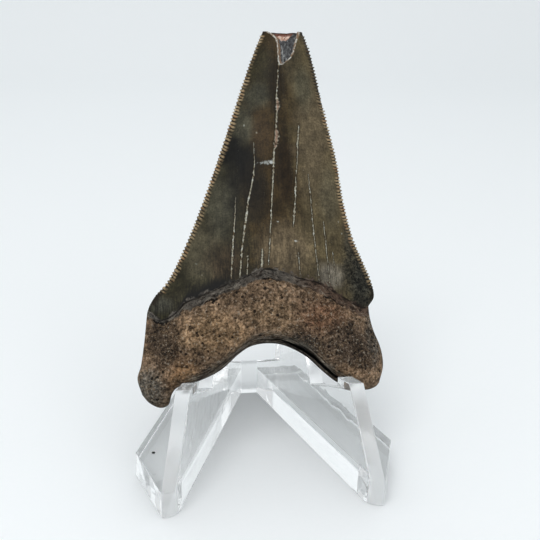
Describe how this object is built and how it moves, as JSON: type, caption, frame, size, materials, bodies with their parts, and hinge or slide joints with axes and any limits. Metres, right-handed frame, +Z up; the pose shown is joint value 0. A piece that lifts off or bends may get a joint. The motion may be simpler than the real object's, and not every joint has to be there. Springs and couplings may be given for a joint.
{
  "type": "fossil shark tooth on display easel",
  "caption": "Fossil megalodon tooth with serrated edges, broken tip and brown root, leaning on a clear acrylic easel with a V-shaped foot.",
  "frame": {"origin": "middle of the easel's footprint, on the plane that it stands on", "axes": "+Z up; -Y is the open front of the easel, where the tooth's display face looks; +X to the viewer's right"},
  "size_m": [0.0548, 0.054, 0.0885],
  "materials": {
    "fossil": "brown and olive-grey fossil enamel, half gloss, over a matt porous brown root",
    "clear_acrylic": "clear polished acrylic, smooth faces with sharp edges"
  },
  "bodies": {
    "root": {"tooth": "fossil", "stand": "clear_acrylic"}
  },
  "joints": []
}
